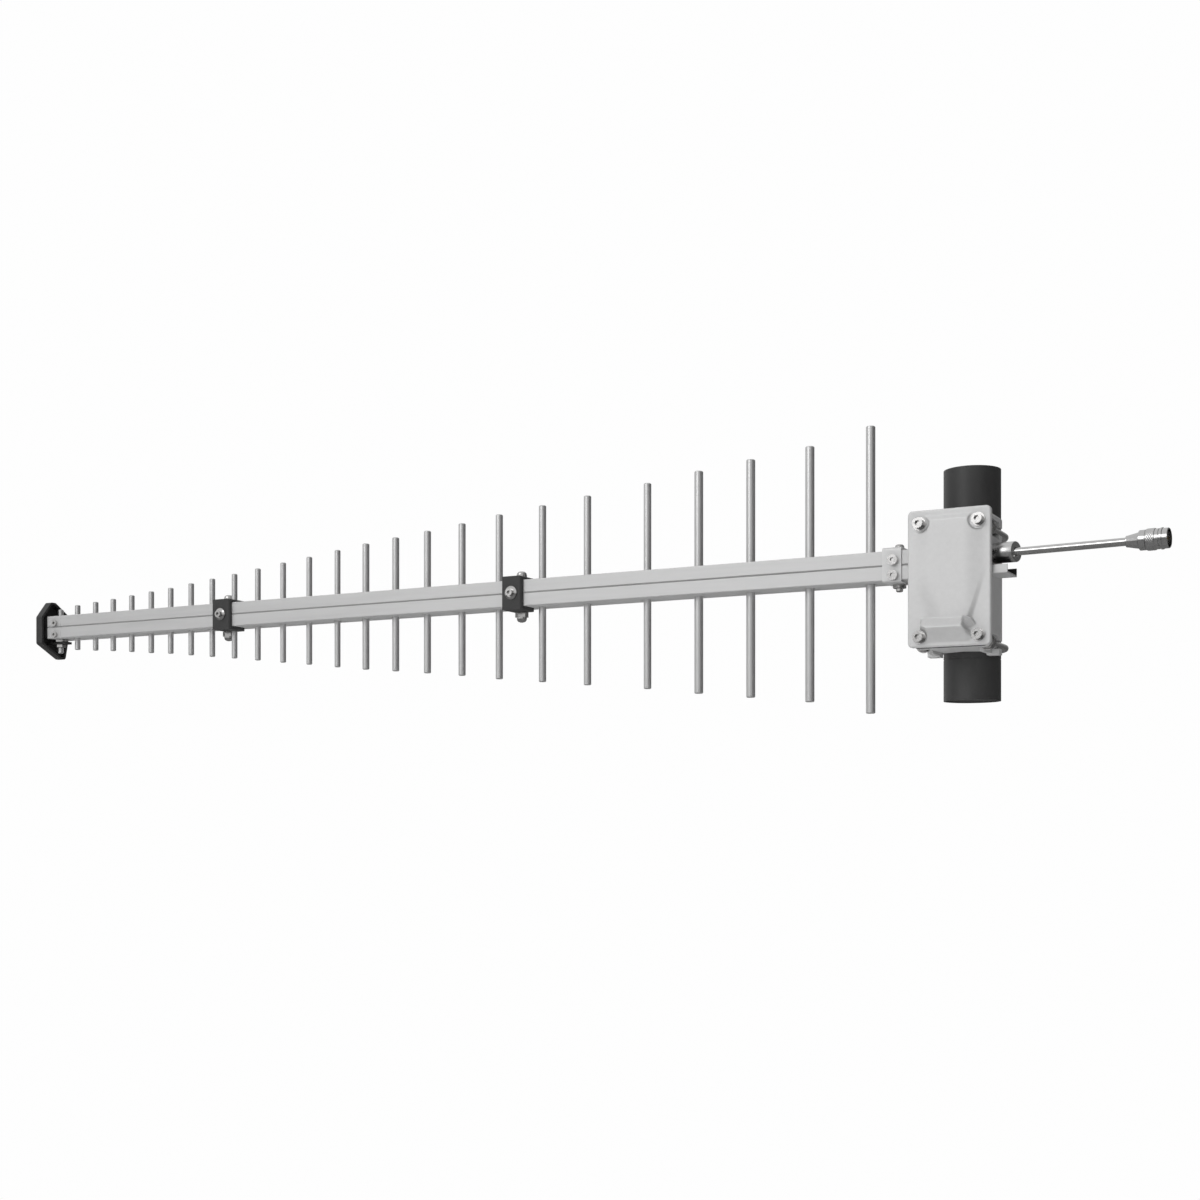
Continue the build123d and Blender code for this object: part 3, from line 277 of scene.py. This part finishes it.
# Relief cover, with heights over its plate's front face, which looks toward -Y

cover_low, cover_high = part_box("cover_plate")
PLATE = {"half": cover_high[0], "low": cover_low[2], "high": cover_high[2],
         "back": cover_high[1], "thick": 0.0040, "corner": 0.0040, "edge": 0.0012}
# Raised field: where it rises from the plate's sides, its top edge and the lip's crest
FIELD = {"height": 0.0022, "side": (0.0020, 0.0220), "top": (0.0045, 0.0095),
         "foot": (-0.0060, 0.0030)}
# Lower side edge of the field, as corners (x, z)
FACET = [(0.0340, 0.1053), (0.0276, 0.0872), (0.0187, 0.0600)]
# Slope along that edge, crisp at the right and soft at the left, and how its upper end fades
FACET_SLOPE = {"right": (-0.0002, 0.0046), "left": (-0.0002, 0.0160)}
FACET_FADE = {"right": 0.0015, "left": 0.0350}
# Lip: its reach along x with fading ends, its heights along z and how round its crest is
LIP = {"left": -0.0222, "right": 0.0158, "left_fade": (-0.0016, 0.0010),
       "right_fade": (-0.0010, 0.0040), "top": 0.0640, "over": 0.0010, "crest": 0.0562,
       "foot": 0.0440, "height": 0.0098, "round": 0.0010, "hollow": 1.5}
# Slanted oval hollow in the lip's right end, with the way of its long axis toward +x and -z
OVAL = {"x": 0.0172, "z": 0.0588, "way": (0.55, 0.835), "long": 0.0066, "wide": 0.0044,
        "top": 0.0098, "depth": 0.0022, "wall": 3, "floor": 0.0003}
# Hollows round the bolts: centre (x, z), and the radii where the cone starts and ends
SCALLOPS = [(0.0246, 0.1432, 0.0078, 0.0108), (-0.0246, 0.1432, 0.0070, 0.0150),
            (0.0240, 0.0516, 0.0060, 0.0118), (-0.0246, 0.0494, 0.0062, 0.0098)]
SCALLOP_ROUND = 0.0004
SCALLOP_FADE = 0.0010
COVER_STEPS = {"across": 120, "along": 200}
# Finer steps over a rounded edge, as parts of its radius
EDGE_STEPS = (0.0, 0.12, 0.4, 1.0)


def inside_facet(x, z):
    """Distance to the lower side edge of the raised field, positive toward the middle."""
    (x0, z0), (x1, z1) = FACET[0:2] if z > FACET[1][1] else FACET[1:3]
    edge = x0 + (x1 - x0) * (z0 - z) / (z0 - z1)
    return (edge - abs(x)) * (z0 - z1) / math.hypot(x1 - x0, z1 - z0)


def field_height(x, z):
    """Raised field, soft at the plate's sides and cut by the slopes of its lower half."""
    hand = "right" if x > 0 else "left"
    field = FIELD["height"] * smooth(PLATE["half"] - abs(x), *FIELD["side"])
    field *= smooth(PLATE["high"] - z, *FIELD["top"])
    if z < FACET[0][1]:
        side = smooth(inside_facet(x, z), *FACET_SLOPE[hand])
        start = smooth(FACET[0][1] - z, 0.0, FACET_FADE[hand])
        field *= 1.0 - (1.0 - side) * start
    foot_start, foot_end = FIELD["foot"]
    return field * smooth(z, LIP["crest"] + foot_start, LIP["crest"] + foot_end)


def lip_height(x, z):
    """Lip with a straight upper face, a hollow lower one and a rounded crest between them."""
    if z >= LIP["top"] + LIP["over"]:
        return 0.0
    rise = (LIP["top"] - z) / (LIP["top"] - LIP["crest"])
    fall = (z - LIP["foot"]) / (LIP["crest"] - LIP["foot"])
    upper = FIELD["height"] + (LIP["height"] - FIELD["height"]) * rise
    lower = LIP["height"] * (max(fall, 0.0) ** LIP["hollow"] if fall < 1 else fall)
    width = LIP["round"]
    ridge = -width * math.log(math.exp(-upper / width) + math.exp(-lower / width))
    ridge = max(min(ridge, LIP["height"]), 0.0)
    left_start, left_end = LIP["left_fade"]
    right_start, right_end = LIP["right_fade"]
    ridge *= ramp(x, LIP["left"] + left_start, LIP["left"] + left_end)
    return ridge * (1.0 - ramp(x, LIP["right"] + right_start, LIP["right"] + right_end))


def with_oval(height, x, z):
    """Height with the oval hollow cut into the lip's right end."""
    way_x, way_z = OVAL["way"]
    along = ((x - OVAL["x"]) * way_x - (z - OVAL["z"]) * way_z) / OVAL["long"]
    beside = ((x - OVAL["x"]) * way_z + (z - OVAL["z"]) * way_x) / OVAL["wide"]
    inside = 1.0 - math.hypot(along, beside)
    if inside <= 0:
        return height
    depth = OVAL["depth"] * min(1.0, inside * OVAL["wall"])
    return max(OVAL["top"] * (1.0 - along) / 2 - depth, OVAL["floor"])


def softer_min(first, second, width):
    """Smaller of two heights with a rounded change, which fades out on low ground."""
    gap = abs(first - second) / width
    fade = ramp(first, 0.0, SCALLOP_FADE)
    return min(first, second) - width * math.log(1 + math.exp(-gap)) * fade


def cover_height(x, z):
    """Height of the relief over the plate's face."""
    height = with_oval(max(field_height(x, z), lip_height(x, z)), x, z)
    for centre_x, centre_z, start, end in SCALLOPS:
        cone = LIP["height"] * ramp(math.hypot(x - centre_x, z - centre_z), start, end)
        if cone < LIP["height"]:
            height = max(softer_min(height, cone, SCALLOP_ROUND), 0.0)
    return height


def row_half(z):
    """Half width of the plate at a height, with its rounded corners."""
    near = min(z - PLATE["low"], PLATE["high"] - z)
    if near >= PLATE["corner"]:
        return PLATE["half"]
    drop = PLATE["corner"] - near
    return PLATE["half"] - PLATE["corner"] + math.sqrt(max(PLATE["corner"] ** 2 - drop ** 2, 0))


def edge_drop(x, z):
    """How far the rounded front edge of the plate falls back."""
    near = min(row_half(z) - abs(x), z - PLATE["low"], PLATE["high"] - z)
    if near >= PLATE["edge"]:
        return 0.0
    return PLATE["edge"] - math.sqrt(PLATE["edge"] ** 2 - (PLATE["edge"] - max(near, 0)) ** 2)


def graded(count, low_end, high_end, edge):
    """Even steps over a length, with finer ones at each rounded end."""
    fine = [part * edge for part in EDGE_STEPS]
    inner = [low_end + edge + (high_end - low_end - 2 * edge) * i / count
             for i in range(1, count)]
    return [low_end + f for f in fine] + inner + [high_end - f for f in reversed(fine)]


def relief_cover():
    """Front face as a grid of heights, with a straight rim back to a flat rear face."""
    face_y = PLATE["back"] - PLATE["thick"]
    across = graded(COVER_STEPS["across"], -1.0, 1.0, PLATE["edge"] / PLATE["half"])
    along = graded(COVER_STEPS["along"], PLATE["low"], PLATE["high"], PLATE["edge"])
    verts = []
    for z in along:
        for part in across:
            x = part * row_half(z)
            verts.append((x, face_y + edge_drop(x, z) - cover_height(x, z), z))
    wide, tall = len(across), len(along)
    faces = [(r * wide + c, r * wide + c + 1, (r + 1) * wide + c + 1, (r + 1) * wide + c)
             for r in range(tall - 1) for c in range(wide - 1)]
    rim = list(range(wide))
    rim += [r * wide + wide - 1 for r in range(1, tall)]
    rim += [(tall - 1) * wide + c for c in range(wide - 2, -1, -1)]
    rim += [r * wide for r in range(tall - 2, 0, -1)]
    base = len(verts)
    count = len(rim)
    verts += [(verts[index][0], PLATE["back"], verts[index][2]) for index in rim]
    for i in range(count):
        j = (i + 1) % count
        faces.append((rim[j], rim[i], base + i, base + j))
    faces.append(tuple(range(base, base + count)))
    return add_mesh("relief_cover", verts, faces, "cast_aluminium", "antenna", "cover_plate")


relief_cover()

# Seam strip, nearly flush with the rails' faces

STRIP_OUT = 0.0009
low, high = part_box("rail_separator")
box_piece("seam_strip", (low[0], low[1] - STRIP_OUT, low[2]),
          (high[0], high[1] + STRIP_OUT, high[2]), "dark_seal", "antenna", "rail_separator",
          look="seam_grey")

# Gland: turned body with a rear face that slants across the feed

rail_low, rail_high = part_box("upper_rail")
BOOM_Y = (rail_low[1] + rail_high[1]) / 2
plug_joint = frame["joints"][0]
PLUG = Vector(plug_joint["pos_m"])
FEED_WAY = Vector(plug_joint["axis"])
# Places along the feed, then radii, then sizes of the edges
GLAND = {"front": 0.0240, "step": 0.0305, "shoulder": 0.0320, "end": 0.0501,
         "bore": 0.0033, "mouth": 0.0044, "neck": 0.0074, "body": 0.0085,
         "cut": 0.0002, "front_edge": 0.0005, "rear_edge": 0.0006, "flare": 0.0001,
         "flare_end": 0.0012, "bore_end": 0.0060}
GLAND_SLANT = math.tan(math.radians(15.5))
GLAND_CREASE = math.radians(35)
GLAND_AROUND = 72
# Each ring: place along the feed, radius, and whether the place is counted from the rear face
GLAND_RINGS = [
    (GLAND["front"], GLAND["bore"], False),
    (GLAND["front"], GLAND["mouth"], False),
    (GLAND["step"], GLAND["mouth"], False),
    (GLAND["step"], GLAND["neck"], False),
    (GLAND["shoulder"], GLAND["neck"], False),
    (GLAND["shoulder"] + GLAND["cut"], GLAND["body"] - GLAND["cut"], False),
    (GLAND["shoulder"] + GLAND["front_edge"], GLAND["body"], False),
    (-GLAND["rear_edge"], GLAND["body"], True),
    (-GLAND["cut"], GLAND["body"] - GLAND["cut"], True),
    (0.0, GLAND["body"] - GLAND["rear_edge"], True),
    (0.0, GLAND["mouth"], True),
    (-GLAND["flare_end"], GLAND["bore"] + GLAND["flare"], True),
    (-GLAND["bore_end"], GLAND["bore"], True),
    (GLAND["front"], GLAND["bore"], False),
]


def gland_point(ring, angle):
    """Point on a ring of the gland, pushed along the feed where the rear face slants."""
    along, radius, from_face = ring
    y = radius * math.cos(angle)
    if from_face:
        along += GLAND["end"] + y * GLAND_SLANT
    return (along, BOOM_Y + y, PLUG.z + radius * math.sin(angle))


gland = ring_mesh("gland_turned", GLAND_RINGS, GLAND_AROUND, gland_point, "polished_metal",
                  "antenna", "feed_gland", look="satin_metal")
gland.modifiers.new("sharp", "EDGE_SPLIT").split_angle = GLAND_CREASE

# U-bolt nuts close behind the cover, with the jaws filled up to them

NUTS_FORWARD = 0.0215
U_BOLT_RADIUS = 0.0030
JAW = {"near": 0.0199, "far": 0.0242, "front": -0.0505, "back": -0.0288, "half": 0.0071}
bolts_low, bolts_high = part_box("u_bolts")
U_BOLT_Z = {"high": bolts_high[2] - U_BOLT_RADIUS, "low": bolts_low[2] + U_BOLT_RADIUS}

nut_mesh = nodes["u_bolt_nuts"].data.copy()
for vert in nut_mesh.vertices:
    vert.co.y -= NUTS_FORWARD
add_piece("u_bolt_nuts_front", nut_mesh, "bright_steel", "antenna", "u_bolt_nuts")
for hand, side in (("left", -1), ("right", 1)):
    jaw_low, jaw_high = sorted((side * JAW["near"], side * JAW["far"]))
    for level, bolt_z in U_BOLT_Z.items():
        box_piece("jaw_fill_%s_%s" % (hand, level),
                  (jaw_low, JAW["front"], bolt_z - JAW["half"]),
                  (jaw_high, JAW["back"], bolt_z + JAW["half"]), "cast_aluminium", "antenna")

# Nose: the cap's tongue hides behind the nuts on the front-most lower rod

TONGUE = {"front": -1.0335, "top": 0.0992, "foot": 0.0962, "narrow": 0.6}
NUT_RIM = 0.0004
UPPER_NUT = {"top": 0.0990, "height": 0.0029, "flats": 0.0125}
LOWER_NUT_FLATS = 0.0100

tip_low, tip_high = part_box("dipole_26")
ROD_X = (tip_low[0] + tip_high[0]) / 2

cap_mesh = nodes["nose_cap"].data.copy()
for vert in cap_mesh.vertices:
    if vert.co.x > TONGUE["front"] and vert.co.z < TONGUE["top"]:
        vert.co.y = BOOM_Y + (vert.co.y - BOOM_Y) * TONGUE["narrow"]
        if vert.co.z > TONGUE["foot"]:
            vert.co.x = ROD_X + (vert.co.x - ROD_X) * TONGUE["narrow"]
add_piece("nose_cap_narrow", cap_mesh, "black_plastic", "antenna", "nose_cap")


def hex_points(z, flats):
    """Corners of a hexagon round the front-most rod."""
    corner = flats / 2 / math.cos(math.pi / 6)
    return [(ROD_X + corner * math.cos(math.pi * (k / 3 + 1 / 6)),
             BOOM_Y + corner * math.sin(math.pi * (k / 3 + 1 / 6)), z) for k in range(6)]


def hex_nut(name, top, height, flats, *replaced):
    """Hexagon nut with chamfered rims on the front-most rod."""
    rings = [(top, flats - 2 * NUT_RIM), (top - NUT_RIM, flats),
             (top - height + NUT_RIM, flats), (top - height, flats - 2 * NUT_RIM)]
    verts = [point for z, size in rings for point in hex_points(z, size)]
    faces = [(r * 6 + k, r * 6 + (k + 1) % 6, (r + 1) * 6 + (k + 1) % 6, (r + 1) * 6 + k)
             for r in range(3) for k in range(6)]
    faces += [tuple(range(5, -1, -1)), tuple(range(18, 24))]
    return add_mesh(name, verts, faces, "bright_steel", "antenna", *replaced, rounded=False)


nut_low, nut_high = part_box("nose_nut")
hex_nut("nose_nut_upper", UPPER_NUT["top"], UPPER_NUT["height"], UPPER_NUT["flats"])
hex_nut("nose_nut_lower", nut_high[2], nut_high[2] - nut_low[2], LOWER_NUT_FLATS, "nose_nut")

# Knurled band on the coupling nut, with crossed teeth that fade out at its ends

FEED_SIDE = Vector((-FEED_WAY.y, FEED_WAY.x, 0.0))
# Start and end are counted along the feed from the joint's place
KNURL = {"start": -0.0066, "end": -0.0007, "radius": 0.0085, "under": 0.00008,
         "lift": 0.00010, "tooth": 0.00022, "fade": 0.0003, "count": 26, "pitch": 0.0016}
KNURL_STEPS = {"along": 36, "around": 208}


def knurl_point(ring, angle):
    """Point on the band, raised where two leaning sets of teeth cross."""
    lean = 2 * math.pi * ring / KNURL["pitch"]
    turn = KNURL["count"] * angle
    tooth = 0.5 * (1 + min(math.cos(turn + lean), math.cos(turn - lean)))
    fade = ramp(min(ring - KNURL["start"], KNURL["end"] - ring), 0.0, KNURL["fade"])
    radius = KNURL["radius"] - KNURL["under"] + (KNURL["tooth"] * tooth + KNURL["lift"]) * fade
    spot = PLUG + FEED_WAY * ring + FEED_SIDE * (radius * math.cos(angle))
    return (spot.x, spot.y, spot.z + radius * math.sin(angle))


knurl_step = (KNURL["end"] - KNURL["start"]) / KNURL_STEPS["along"]
knurl_rings = [KNURL["start"] + knurl_step * k for k in range(KNURL_STEPS["along"] + 1)]
ring_mesh("nut_knurl", knurl_rings, KNURL_STEPS["around"], knurl_point, "polished_metal", "nut")

# Stage: floor far below and surround, white to the camera and dimmer in reflections

WHITE = 0.99
FLOOR = {"size": 30, "level": -0.45, "shade": 0.8, "reflected": 0.3}
# The surround falls off toward this direction, between the two values of its dot product
DIM_WAY = (0.88, 0.47, 0.0)
DIM_SPAN = (0.1, 0.75)
# Strengths away from that direction and in it
SOFT_LIGHT = (0.32, 0.12)
REFLECTED_LIGHT = (0.75, 0.12)


def mixed(tree, fac, first, second):
    """Shader that is the first where a factor is 0 and the second where it is 1."""
    mix = tree.nodes.new("ShaderNodeMixShader")
    tree.links.new(fac, mix.inputs["Fac"])
    tree.links.new(first, mix.inputs[1])
    tree.links.new(second, mix.inputs[2])
    return mix.outputs["Shader"]


def stage_material():
    """Floor that lights the object from below and is plain white to the camera."""
    mat = bpy.data.materials.new("stage_floor")
    mat.use_nodes = True
    tree = mat.node_tree
    tree.nodes.clear()
    out = tree.nodes.new("ShaderNodeOutputMaterial")
    path = tree.nodes.new("ShaderNodeLightPath")
    shades = []
    for shade in (FLOOR["shade"], FLOOR["reflected"]):
        diffuse = tree.nodes.new("ShaderNodeBsdfDiffuse")
        diffuse.inputs["Color"].default_value = (shade, shade, shade, 1)
        shades.append(diffuse.outputs["BSDF"])
    glow = tree.nodes.new("ShaderNodeEmission")
    glow.inputs["Color"].default_value = (1, 1, 1, 1)
    glow.inputs["Strength"].default_value = WHITE
    lit = mixed(tree, path.outputs["Is Glossy Ray"], *shades)
    shown = mixed(tree, path.outputs["Is Camera Ray"], lit, glow.outputs["Emission"])
    tree.links.new(shown, out.inputs["Surface"])
    return mat


bpy.ops.mesh.primitive_plane_add(size=FLOOR["size"], location=(0, 0, FLOOR["level"]))
floor = bpy.context.object
floor.name = "stage_floor"
floor.data.materials.append(stage_material())
floor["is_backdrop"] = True


def white_background(tree):
    """White world background, whose strength is still to be set."""
    node = tree.nodes.new("ShaderNodeBackground")
    node.inputs["Color"].default_value = (1, 1, 1, 1)
    return node


def falling_background(tree, side, strengths):
    """White background that is weaker toward the side where the studio has no lamp."""
    part = white_background(tree)
    fall = tree.nodes.new("ShaderNodeMapRange")
    fall.interpolation_type = "SMOOTHSTEP"
    fall.inputs["From Min"].default_value = DIM_SPAN[0]
    fall.inputs["From Max"].default_value = DIM_SPAN[1]
    fall.inputs["To Min"].default_value = strengths[0]
    fall.inputs["To Max"].default_value = strengths[1]
    tree.links.new(side, fall.inputs["Value"])
    tree.links.new(fall.outputs["Result"], part.inputs["Strength"])
    return part.outputs["Background"]


def studio_world():
    """Surround for soft light, for reflections and for the camera."""
    world = bpy.data.worlds.new("studio")
    world.use_nodes = True
    tree = world.node_tree
    tree.nodes.clear()
    out = tree.nodes.new("ShaderNodeOutputWorld")
    path = tree.nodes.new("ShaderNodeLightPath")
    coord = tree.nodes.new("ShaderNodeTexCoord")
    side = tree.nodes.new("ShaderNodeVectorMath")
    side.operation = "DOT_PRODUCT"
    side.inputs[1].default_value = DIM_WAY
    tree.links.new(coord.outputs["Generated"], side.inputs[0])
    soft = falling_background(tree, side.outputs["Value"], SOFT_LIGHT)
    reflected = falling_background(tree, side.outputs["Value"], REFLECTED_LIGHT)
    white = white_background(tree)
    white.inputs["Strength"].default_value = WHITE
    lit = mixed(tree, path.outputs["Is Glossy Ray"], soft, reflected)
    shown = mixed(tree, path.outputs["Is Camera Ray"], lit, white.outputs["Background"])
    tree.links.new(shown, out.inputs["Surface"])
    return world


bpy.context.scene.world = studio_world()

# Lamps

MIDDLE = (-0.45, -0.05, 0.11)
OVERHEAD = dict(place=(-0.5, -0.3, 2.8), target=MIDDLE, size=(3.0, 1.6))
LAMPS = {
    "key": dict(place=(-1.6, -3.8, 1.9), target=MIDDLE, size=(2.6, 2.0), power=38),
    "bounce": dict(place=(-0.45, -0.35, -0.41), target=(-0.45, -0.25, 0.11), size=(2.6, 1.2),
                   power=11),
    "top": dict(power=48, **OVERHEAD),
    "sheen": dict(power=12, **OVERHEAD),
}


def softbox(name, place, target, size, power):
    """Area lamp aimed at a target."""
    data = bpy.data.lights.new(name, "AREA")
    data.shape = "RECTANGLE"
    data.size, data.size_y = size
    data.energy = power
    lamp = bpy.data.objects.new(name, data)
    bpy.context.collection.objects.link(lamp)
    lamp.location = place
    lamp.rotation_euler = (Vector(target) - Vector(place)).to_track_quat("-Z", "Y").to_euler()
    return lamp


lamps = {name: softbox(name, **lamp) for name, lamp in LAMPS.items()}
# The low lamp isn't seen, and the overhead light is reflected by a weaker lamp in its place
lamps["bounce"].visible_camera = False
lamps["bounce"].visible_glossy = False
lamps["top"].visible_glossy = False
lamps["sheen"].visible_diffuse = False

# Camera at the photograph's viewing angle

CAMERA = {"place": (0.3734, -1.3782, -0.0933), "tilt": 90, "turn": 28.1, "sensor": 36,
          "lens": 48.6, "shift_y": 0.175}

cam_data = bpy.data.cameras.new("camera")
cam_data.sensor_width = CAMERA["sensor"]
cam_data.lens = CAMERA["lens"]
cam_data.shift_y = CAMERA["shift_y"]
camera = bpy.data.objects.new("camera", cam_data)
bpy.context.collection.objects.link(camera)
camera.location = CAMERA["place"]
camera.rotation_euler = (math.radians(CAMERA["tilt"]), 0, math.radians(CAMERA["turn"]))
bpy.context.scene.camera = camera
bpy.context.scene.view_settings.view_transform = "Standard"

low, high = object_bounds()
